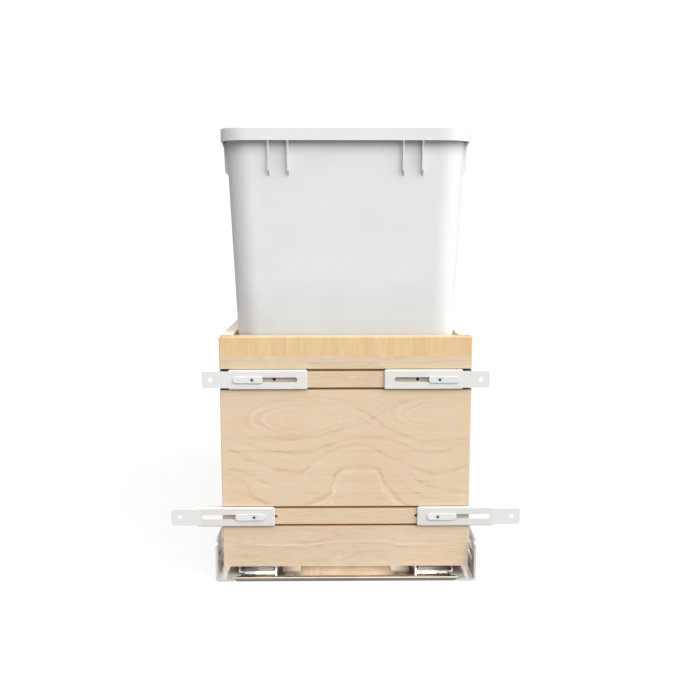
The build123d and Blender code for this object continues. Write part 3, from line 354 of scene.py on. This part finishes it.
def cap_wood(name):
    """Solid maple strip with its figure upright."""
    g = Graph(name)
    wide = g.noise(g.vec(g.m("MULTIPLY", g.x, 1 / 17.0), g.m("MULTIPLY", g.z, 1 / 120.0), 2.0), 1.0, 2.0, 0.5)
    bands = g.noise(g.vec(g.m("MULTIPLY", g.x, 1 / 4.2), g.m("MULTIPLY", g.z, 1 / 70.0), g.m("MULTIPLY", g.y, 1 / 30.0)), 1.0, 3.0, 0.6)
    fine = g.noise(g.vec(g.m("MULTIPLY", g.x, 1 / 0.9), g.m("MULTIPLY", g.z, 1 / 22.0), g.m("MULTIPLY", g.y, 1 / 9.0)), 1.0, 3.0, 0.6)
    tone = g.ramp(wide, [(0.30, srgb(234, 198, 153)), (0.45, srgb(233, 200, 153)), (0.58, srgb(238, 208, 160)), (0.72, srgb(230, 195, 148))])
    tone = g.mix(0.45, tone, g.ramp(bands, [(0.28, srgb(238, 226, 212)), (0.48, srgb(255, 255, 255)), (0.70, srgb(248, 241, 232))]), "MULTIPLY")
    tone = g.mix(0.45, tone, g.ramp(fine, [(0.30, srgb(240, 232, 222)), (0.52, srgb(255, 255, 255)), (0.8, srgb(251, 248, 244))]), "MULTIPLY")
    # painted light difference: up-facing faces made darker and less yellow than the sides, set for the strong light
    # from above
    up = g.step(g.split(g.coord.outputs["Normal"])[2], 0.35, 0.9)
    tone = g.mix(up, tone, (0.745, 0.885, 1.10, 1.0), "MULTIPLY")
    fleck = g.step(g.noise(g.vec(g.m("MULTIPLY", g.x, 1 / 1.1), g.m("MULTIPLY", g.z, 1 / 6.0), 9.0), 1.0, 1.0, 0.5), 0.70, 0.80)
    tone = g.mix(g.m("MULTIPLY", fleck, 0.22), tone, srgb(205, 166, 118))
    g.put(g.b.inputs["Base Color"], tone)
    g.put(g.b.inputs["Roughness"], g.ramp(fine, [(0.2, (0.38,) * 3), (0.8, (0.52,) * 3)]))
    g.put(g.b.inputs["Normal"], g.bump(g.m("SUBTRACT", fine, fleck), 0.3, 0.0001))
    g.fixed(Coat_Weight=0.12, Coat_Roughness=0.28, Specular_IOR_Level=0.4)
    return g.mat


def dowel_wood(name):
    g = Graph(name)
    fine = g.noise(g.vec(g.m("MULTIPLY", g.x, 1 / 0.5), g.m("MULTIPLY", g.y, 1 / 14.0), g.m("MULTIPLY", g.z, 1 / 0.5)), 1.0, 3.0, 0.6)
    g.put(g.b.inputs["Base Color"], g.ramp(fine, [(0.3, srgb(196, 160, 118)), (0.55, srgb(216, 184, 142)), (0.8, srgb(224, 196, 158))]))
    g.put(g.b.inputs["Roughness"], g.ramp(fine, [(0.2, (0.6,) * 3), (0.8, (0.75,) * 3)]))
    g.put(g.b.inputs["Normal"], g.bump(fine, 0.4, 0.0002))
    return g.mat


# ---------------------------------------------------------------- plastics and coatings
def plastic(name, tint, rough=(0.34, 0.46), grain=2.4, depth=0.00004, vary=0.985, spec=0.4, scuff=0.25, low=None, under=None):
    """Moulded plastic: fine spark texture, faint mottling, light rubbed marks; optional painted light on down-facing
    faces and painted shade on the bin.
    """
    g = Graph(name)
    mottle = g.noise(g.p, 0.02, 3.0, 0.5)
    tiny = g.noise(g.p, grain, 2.0, 0.6)
    rub_and_slot_shade = g.noise(g.vec(g.m("MULTIPLY", g.x, 1 / 26.0), g.m("MULTIPLY", g.y, 1 / 26.0), g.m("MULTIPLY", g.z, 1 / 1.4)), 1.0, 3.0, 0.65)
    rub_and_slot_shade = g.step(rub_and_slot_shade, 0.60, 0.74)
    dark = tuple(t * vary * vary for t in tint)
    tone = g.ramp(mottle, [(0.30, (*dark, 1.0)), (0.55, (*tint, 1.0)), (0.75, (*(min(1.0, t * 1.008) for t in tint), 1.0))])
    tone = g.mix(g.m("MULTIPLY", g.step(tiny, 0.35, 0.65), 0.06), tone, (*(t * 0.93 for t in tint), 1.0))
    # painted light: down-facing faces set to a lighter grey, against the shade under them
    if under:
        down = g.step(g.split(g.coord.outputs["Normal"])[2], -0.25, -0.8)
        tone = g.mix(down, tone, (under, under, under, 1.0))
    # painted shade on the bin: the inside darker; the front face darker from mid height down to the tray's rim, most
    # just above it and easing off lower; front and back darker between each rib pair; and a darker strip under the rim
    if low:
        facing = g.split(g.coord.outputs["Normal"])
        out = g.m("ADD", g.m("MULTIPLY", facing[0], g.x), g.m("MULTIPLY", facing[1], g.m("ADD", g.y, 81.5)))
        out = g.step(out, 0.0, 30.0)
        ahead = g.m("MULTIPLY", g.step(facing[1], -0.60, -0.95), out)
        inside_shade = g.m("MULTIPLY", g.m("SUBTRACT", 1.0, out), g.step(g.z, 473.6, 472.6))
        tone = g.mix(inside_shade, tone, (0.81, 0.81, 0.81, 1.0), "MULTIPLY")
        shade = g.m("MULTIPLY", g.m("MULTIPLY", g.step(g.z, 335.0, 275.0), g.step(g.z, 40.0, 262.0, 0.30, 1.0)), ahead)
        tone = g.mix(shade, tone, (low, low, low, 1.0), "MULTIPLY")
        rim_shade = g.m("MULTIPLY", g.m("MULTIPLY", g.step(g.z, 286.0, 268.0), g.step(g.z, 110.0, 262.0)), ahead)
        tone = g.mix(rim_shade, tone, (0.90, 0.90, 0.90, 1.0), "MULTIPLY")
        flank_y = g.m("MULTIPLY", g.step(g.m("ABSOLUTE", facing[1]), 0.7, 0.9), out)
        wide = g.m("ABSOLUTE", g.x)
        rib_gap_shade = g.m("MULTIPLY", g.m("MULTIPLY", g.step(wide, 57.5, 60.5), g.step(wide, 80.0, 77.5)), g.step(g.z, 420.0, 445.0))
        tone = g.mix(g.m("MULTIPLY", g.m("MULTIPLY", rib_gap_shade, flank_y), g.step(g.z, 462.6, 462.2)), tone, (0.905, 0.905, 0.905, 1.0), "MULTIPLY")
        under_rim_shade = g.m("MULTIPLY", g.m("MULTIPLY", g.step(g.z, 446.0, 460.0), g.step(g.z, 462.6, 462.2)), out)
        tone = g.mix(under_rim_shade, tone, (0.93, 0.93, 0.93, 1.0), "MULTIPLY")
    g.put(g.b.inputs["Base Color"], tone)
    base = g.ramp(mottle, [(0.3, (rough[0],) * 3), (0.7, (rough[1],) * 3)])
    g.put(g.b.inputs["Roughness"], g.m("SUBTRACT", base, g.m("MULTIPLY", rub_and_slot_shade, 0.06 * scuff * 4)))
    n1 = g.bump(tiny, 0.35, depth)
    g.put(g.b.inputs["Normal"], g.bump(g.noise(g.p, 0.012, 1.0, 0.5), 0.12, 0.0004, n1))
    g.fixed(Specular_IOR_Level=spec)
    return g.mat


def powder_coat(name, tint, neck, web):
    """Smooth powder coat: low orange peel with a few tiny grains, and painted shade on the wide part."""
    g = Graph(name)
    peel = g.noise(g.p, 0.9, 2.0, 0.5)
    grain = g.cells(g.p, 1.6)
    slow = g.noise(g.p, 0.03, 2.0, 0.5)
    tone = g.ramp(slow, [(0.3, (*(t * 0.985 for t in tint), 1.0)), (0.7, (*tint, 1.0))])
    tone = g.mix(g.step(grain, 0.05, 0.16, 0.10, 0.0), tone, (*(t * 0.86 for t in tint), 1.0))
    # painted shade: the wide part, inside the neck, a little darker and warmer than the neck
    tone = g.mix(g.step(g.m("ABSOLUTE", g.x), neck, neck - 6.0), tone, (*web, 1.0), "MULTIPLY")
    g.put(g.b.inputs["Base Color"], tone)
    g.put(g.b.inputs["Roughness"], g.ramp(peel, [(0.3, (0.26,) * 3), (0.7, (0.36,) * 3)]))
    g.put(g.b.inputs["Normal"], g.bump(peel, 0.22, 0.00006))
    g.fixed(Specular_IOR_Level=0.5)
    return g.mat


# ---------------------------------------------------------------- metals
def steel(name, tint, along, rough=(0.12, 0.24), line=0.6, depth=0.00002, spangle=0.0, stain=0.05, run=45.0, metal=1.0, bend=None):
    """Sheet or drawn steel with rolling lines along one axis, optional zinc spangle, and an optional painted shade line
    along a bend.
    """
    g = Graph(name)
    c = [g.x, g.y, g.z]
    k = "xyz".index(along)
    fine = g.vec(*[g.m("MULTIPLY", s, 1 / run if i == k else 1 / 0.35 * line) for i, s in enumerate(c)])
    wide = g.vec(*[g.m("MULTIPLY", s, 1 / (run * 2) if i == k else 1 / 2.4) for i, s in enumerate(c)])
    brush = g.noise(fine, 1.0, 3.0, 0.65)
    band = g.noise(wide, 1.0, 2.0, 0.5)
    cloud = g.noise(g.p, 0.045, 3.0, 0.6)
    lo = (*(t * (1 - stain * 2) for t in tint), 1.0)
    hi = (*tint, 1.0)
    tone = g.ramp(cloud, [(0.3, lo), (0.6, hi)])
    tone = g.mix(0.5, tone, g.ramp(brush, [(0.3, (0.93, 0.93, 0.935)), (0.6, (1.0, 1.0, 1.0))]), "MULTIPLY")
    height = brush
    value = g.m("ADD", g.m("MULTIPLY", brush, 0.6), g.m("MULTIPLY", band, 0.4))
    if spangle:
        plates = g.cells(g.v("ADD", g.p, g.vec(g.m("MULTIPLY", cloud, 5.0), g.m("MULTIPLY", cloud, -4.0), 0.0)), 0.16, out="Color")
        shade = g.split(plates)[0]
        tone = g.mix(spangle, tone, g.ramp(shade, [(0.0, (0.80, 0.81, 0.83)), (1.0, (1.0, 1.0, 1.0))]), "MULTIPLY")
        value = g.m("ADD", g.m("MULTIPLY", value, 0.6), g.m("MULTIPLY", shade, 0.4))
    # painted shade: a dark line along the bend at the plate's front edge
    if bend:
        near = g.m("ADD", g.y, g.m("MULTIPLY", band, 0.5))
        tone = g.mix(g.step(near, bend + 1.1, bend - 0.1), tone, (0.46, 0.425, 0.375, 1.0), "MULTIPLY")
    g.put(g.b.inputs["Base Color"], tone)
    g.put(g.b.inputs["Roughness"], g.ramp(value, [(0.25, (rough[0],) * 3), (0.75, (rough[1],) * 3)]))
    g.put(g.b.inputs["Normal"], g.bump(height, 0.25, depth))
    g.fixed(Metallic=metal)
    return g.mat


def zinc(name, tint=(0.72, 0.72, 0.70)):
    """Bright zinc on small turned or headed parts."""
    g = Graph(name)
    cloud = g.noise(g.p, 0.9, 3.0, 0.6)
    fine = g.noise(g.p, 6.0, 2.0, 0.6)
    g.put(g.b.inputs["Base Color"], g.ramp(cloud, [(0.3, (tint[0] * 0.82, tint[1] * 0.82, tint[2] * 0.84)), (0.55, tint), (0.8, (tint[0] * 1.04, tint[1] * 1.03, tint[2] * 0.98))]))
    g.put(g.b.inputs["Roughness"], g.ramp(fine, [(0.3, (0.22,) * 3), (0.7, (0.36,) * 3)]))
    g.put(g.b.inputs["Normal"], g.bump(fine, 0.2, 0.00002))
    g.fixed(Metallic=1.0)
    return g.mat


def guide_screw(name):
    """White-passivated countersunk heads, with painted shade in the cross recess and on a small disc at its middle."""
    g = Graph(name)
    cloud = g.noise(g.p, 0.9, 3.0, 0.6)
    fine = g.noise(g.p, 5.0, 2.0, 0.6)
    r = g.m("SUBTRACT", g.m("ABSOLUTE", g.x), 98.0)
    h = g.m("MINIMUM", g.m("ABSOLUTE", g.m("SUBTRACT", g.z, 218.0)), g.m("ABSOLUTE", g.m("SUBTRACT", g.z, 69.2)))
    r = g.m("SQRT", g.m("ADD", g.m("MULTIPLY", r, r), g.m("MULTIPLY", h, h)))
    # painted shade: the cross recess, and a small disc round the screw's axis, near black
    recess = g.m("MULTIPLY", g.step(r, 1.8, 2.05, 1.0, 0.0), g.step(g.y, -274.06, -273.95))
    tone = g.ramp(cloud, [(0.3, (0.76, 0.76, 0.75)), (0.6, (0.86, 0.86, 0.86))])
    recess = g.m("MAXIMUM", recess, g.step(r, 1.2, 1.5, 1.0, 0.0))
    g.put(g.b.inputs["Base Color"], g.mix(g.m("MULTIPLY", recess, 0.9), tone, (0.035, 0.035, 0.034, 1.0)))
    g.put(g.b.inputs["Roughness"], g.ramp(fine, [(0.3, (0.30,) * 3), (0.7, (0.42,) * 3)]))
    g.put(g.b.inputs["Normal"], g.bump(fine, 0.2, 0.00002))
    g.fixed(Metallic=0.35)
    return g.mat


# ---------------------------------------------------------------- finishes
def paint(names, mat):
    for n in names:
        o = nodes[n]
        o.data.materials.clear()
        o.data.materials.append(mat)


SIDES = ("left", "right")
paint(["front_panel"], wood("birch_front", "x", "z", "y", -270.0, 16.0, 5.0, front=True))
paint(["left_side_panel"], wood("birch_left", "y", "z", "x", -132.0, 12.7, 31.0, painted_top_highlight=True))
paint(["right_side_panel"], wood("birch_right", "y", "z", "x", 119.3, 12.7, 57.0, painted_top_highlight=True))
paint(["back_panel"], wood("birch_back", "x", "z", "y", 263.3, 12.7, 73.0))
paint(["divider_panel"], wood("birch_divider", "x", "z", "y", 95.0, 12.0, 91.0))
paint(["tray_floor"], wood("birch_floor", "y", "x", "z", 26.0, 9.0, 113.0))
paint(["front_panel_cap"], cap_wood("maple_cap_wood"))
paint(["corner_dowels"], dowel_wood("beech_dowel"))
paint(["bin"], plastic("bin_white", (0.835, 0.835, 0.832), low=0.885))
paint([f"upper_{s}_bracket" for s in SIDES], powder_coat("white_powder_coat", (0.820, 0.818, 0.812), 122.0, (1.0, 0.985, 0.955)))
# lower brackets: a shaded copy of the same coat, painted shade with a darker tint and a darker wide part
paint([f"lower_{s}_bracket" for s in SIDES], powder_coat("white_powder_coat_low", (0.814, 0.810, 0.802), 158.0, (0.95, 0.935, 0.915)))
# guides: painted light on their down-facing faces
paint([f"{v}_{s}_guide" for v in ("upper", "lower") for s in SIDES], plastic("guide_white", (0.815, 0.815, 0.82), (0.24, 0.34), spec=0.5, under=0.96))
screw = zinc("zinc_bright")
paint(["tray_screws", "slide_screws", "clip_screws"], screw)
paint(["guide_screws"], guide_screw("zinc_white"))
paint(["base_left_rail", "base_right_rail"], steel("polished_rail", (0.90, 0.893, 0.88), "y", (0.14, 0.24), metal=0.62))
paint(["base_front_plate"], steel("polished_front_plate", (0.88, 0.872, 0.86), "x", (0.05, 0.13), bend=-277.0))
paint(["base_rear_plate"], steel("polished_rear_plate", (0.88, 0.872, 0.86), "x", (0.05, 0.13)))
paint(["base_rivets"], zinc("rivet_satin", (0.70, 0.70, 0.70)))
slide = steel("slide_galvanised", (0.78, 0.785, 0.79), "y", (0.24, 0.38), spangle=0.4, metal=0.8)
for s in SIDES:
    paint([f"{s}_cabinet_member", f"{s}_middle_member", f"{s}_tray_member"], slide)
retainer = steel("retainer_satin", (0.66, 0.67, 0.68), "y", (0.30, 0.42), stain=0.08)
ball = steel("ball_ground", (0.82, 0.82, 0.83), "y", (0.05, 0.10), stain=0.03)
clip = plastic("clip_nylon", srgb(216, 205, 188)[:3], (0.36, 0.50))
lever = plastic("lever_grey", srgb(168, 162, 152)[:3], (0.36, 0.50))
damper = plastic("damper_grey", srgb(176, 181, 186)[:3], (0.38, 0.52))
cylinder = steel("cylinder_satin", (0.70, 0.70, 0.72), "y", (0.22, 0.34))
for s in SIDES:
    paint([f"{s}_outer_retainer", f"{s}_inner_retainer"], retainer)
    paint([f"{s}_outer_balls", f"{s}_inner_balls"], ball)
    paint([f"{s}_clip_body", f"{s}_striker"], clip)
    paint([f"{s}_clip_lever"], lever)
    paint([f"{s}_damper_housing", f"{s}_damper_catch"], damper)
    paint([f"{s}_damper_cylinder"], cylinder)

# ---------------------------------------------------------------- studio
scene = bpy.context.scene
scene.view_settings.view_transform = "Standard"
scene.view_settings.look = "None"
scene.view_settings.exposure = 0.0
scene.view_settings.gamma = 1.0

world = bpy.data.worlds.new("studio")
scene.world = world
world.use_nodes = True
wt = world.node_tree
wt.nodes.clear()
w_out = wt.nodes.new("ShaderNodeOutputWorld")
w_co = wt.nodes.new("ShaderNodeTexCoord")
w_dir = wt.nodes.new("ShaderNodeVectorMath")
w_dir.operation = "NORMALIZE"
wt.links.new(w_co.outputs["Generated"], w_dir.inputs[0])


def wmath(op, a, b):
    n = wt.nodes.new("ShaderNodeMath")
    n.operation = op
    for i, v in enumerate((a, b)):
        if is_socket(v):
            wt.links.new(v, n.inputs[i])
        else:
            n.inputs[i].default_value = v
    return n.outputs[0]


# soft boxes as smooth patches of the surrounding: direction, sharpness, strength
glow = None
for aim, sharp, strong in (((0.0, 0.0, 1.0), 2.0, 1.2), ((0.57, -0.50, 0.65), 12.0, 3.75), ((0.98, -0.12, 0.16), 5.0, 1.9),
                           ((0.05, -0.63, 0.78), 12.0, 2.8)):
    d = wt.nodes.new("ShaderNodeVectorMath")
    d.operation = "DOT_PRODUCT"
    wt.links.new(w_dir.outputs[0], d.inputs[0])
    d.inputs[1].default_value = Vector(aim).normalized()
    patch = wmath("MULTIPLY", wmath("POWER", wmath("MAXIMUM", d.outputs["Value"], 0.0), sharp), strong)
    glow = patch if glow is None else wmath("ADD", glow, patch)
glow = wmath("ADD", glow, 0.18)
w_bg = wt.nodes.new("ShaderNodeBackground")
w_bg.inputs["Color"].default_value = (1, 1, 1, 1)
wt.links.new(glow, w_bg.inputs["Strength"])
w_white = wt.nodes.new("ShaderNodeBackground")
w_white.inputs["Color"].default_value = (1, 1, 1, 1)
w_white.inputs["Strength"].default_value = 1.05
w_path = wt.nodes.new("ShaderNodeLightPath")
w_mix = wt.nodes.new("ShaderNodeMixShader")
wt.links.new(w_path.outputs["Is Camera Ray"], w_mix.inputs[0])
wt.links.new(w_bg.outputs[0], w_mix.inputs[1])
wt.links.new(w_white.outputs[0], w_mix.inputs[2])
wt.links.new(w_mix.outputs[0], w_out.inputs[0])

# floor: one wide flat sheet
bm = bmesh.new()
ring = []
for y, z in [(-6.0, 0.0), (-2.0, 0.0), (-0.6, 0.0), (0.6, 0.0), (2.0, 0.0), (6.0, 0.0)]:
    ring.append([bm.verts.new((x, y, z)) for x in (-6.0, -1.0, 1.0, 6.0)])
for a, b in zip(ring, ring[1:]):
    for i in range(3):
        bm.faces.new((a[i], a[i + 1], b[i + 1], b[i]))
me = bpy.data.meshes.new("studio_floor")
bm.to_mesh(me)
bm.free()
floor = bpy.data.objects.new("studio_floor", me)
scene.collection.objects.link(floor)
fm = bpy.data.materials.new("studio_floor")
fm.use_nodes = True
ft = fm.node_tree
ft.nodes.clear()
f_out = ft.nodes.new("ShaderNodeOutputMaterial")
f_diff = ft.nodes.new("ShaderNodeBsdfDiffuse")
f_diff.inputs["Color"].default_value = (0.20, 0.20, 0.20, 1)
f_soft = ft.nodes.new("ShaderNodeBsdfDiffuse")
f_soft.inputs["Color"].default_value = (0.16, 0.16, 0.16, 1)
f_emit = ft.nodes.new("ShaderNodeEmission")
f_emit.inputs["Strength"].default_value = 0.82
f_add = ft.nodes.new("ShaderNodeAddShader")
ft.links.new(f_soft.outputs[0], f_add.inputs[0])
ft.links.new(f_emit.outputs[0], f_add.inputs[1])
f_path = ft.nodes.new("ShaderNodeLightPath")
f_mix = ft.nodes.new("ShaderNodeMixShader")
ft.links.new(f_path.outputs["Is Camera Ray"], f_mix.inputs[0])
ft.links.new(f_diff.outputs[0], f_mix.inputs[1])
ft.links.new(f_add.outputs[0], f_mix.inputs[2])
f_gloss = ft.nodes.new("ShaderNodeEmission")
f_gloss.inputs["Strength"].default_value = 0.60
f_mix2 = ft.nodes.new("ShaderNodeMixShader")
ft.links.new(f_path.outputs["Is Glossy Ray"], f_mix2.inputs[0])
ft.links.new(f_mix.outputs[0], f_mix2.inputs[1])
ft.links.new(f_gloss.outputs[0], f_mix2.inputs[2])
ft.links.new(f_mix2.outputs[0], f_out.inputs[0])
me.materials.append(fm)


def softbox(name, place, aim, size, power, shown=False):
    data = bpy.data.lights.new(name, "AREA")
    data.shape = "RECTANGLE"
    data.size, data.size_y = size
    data.energy = power
    o = bpy.data.objects.new(name, data)
    scene.collection.objects.link(o)
    o.location = place
    o.rotation_euler = (Vector(aim) - Vector(place)).to_track_quat("-Z", "Y").to_euler()
    o.visible_camera = shown
    return o


under = softbox("under_tray", (0.0, -0.2265, 0.0056), (0.0, -0.2265, 1.0), (0.124, 0.046), 0.026)
under.visible_glossy = False
for s in (-1, 1):
    softbox(f"slide_fill_{s + 1}", (s * 0.0845, -0.2685, 0.0085), (s * 0.0845, 0.0, 0.0085), (0.027, 0.006), 0.0025)
softbox("gap_fill_0", (-0.1344, -0.205, 0.024), (-0.1344, -0.3, 0.024), (0.0036, 0.036), 0.0007)
softbox("gap_fill_2", (0.1344, -0.205, 0.024), (0.1344, -0.3, 0.024), (0.0036, 0.036), 0.0006)

cam_data = bpy.data.cameras.new("photo_camera")
cam_data.sensor_width = 36.0
cam_data.lens = 873.6 / 700.0 * 36.0
cam = bpy.data.objects.new("photo_camera", cam_data)
scene.collection.objects.link(cam)
cam.location = (-0.0061, -1.1691, 0.3833)
cam.rotation_euler = (math.radians(90.0 - 8.497), 0.0, math.radians(-0.662))
scene.camera = cam
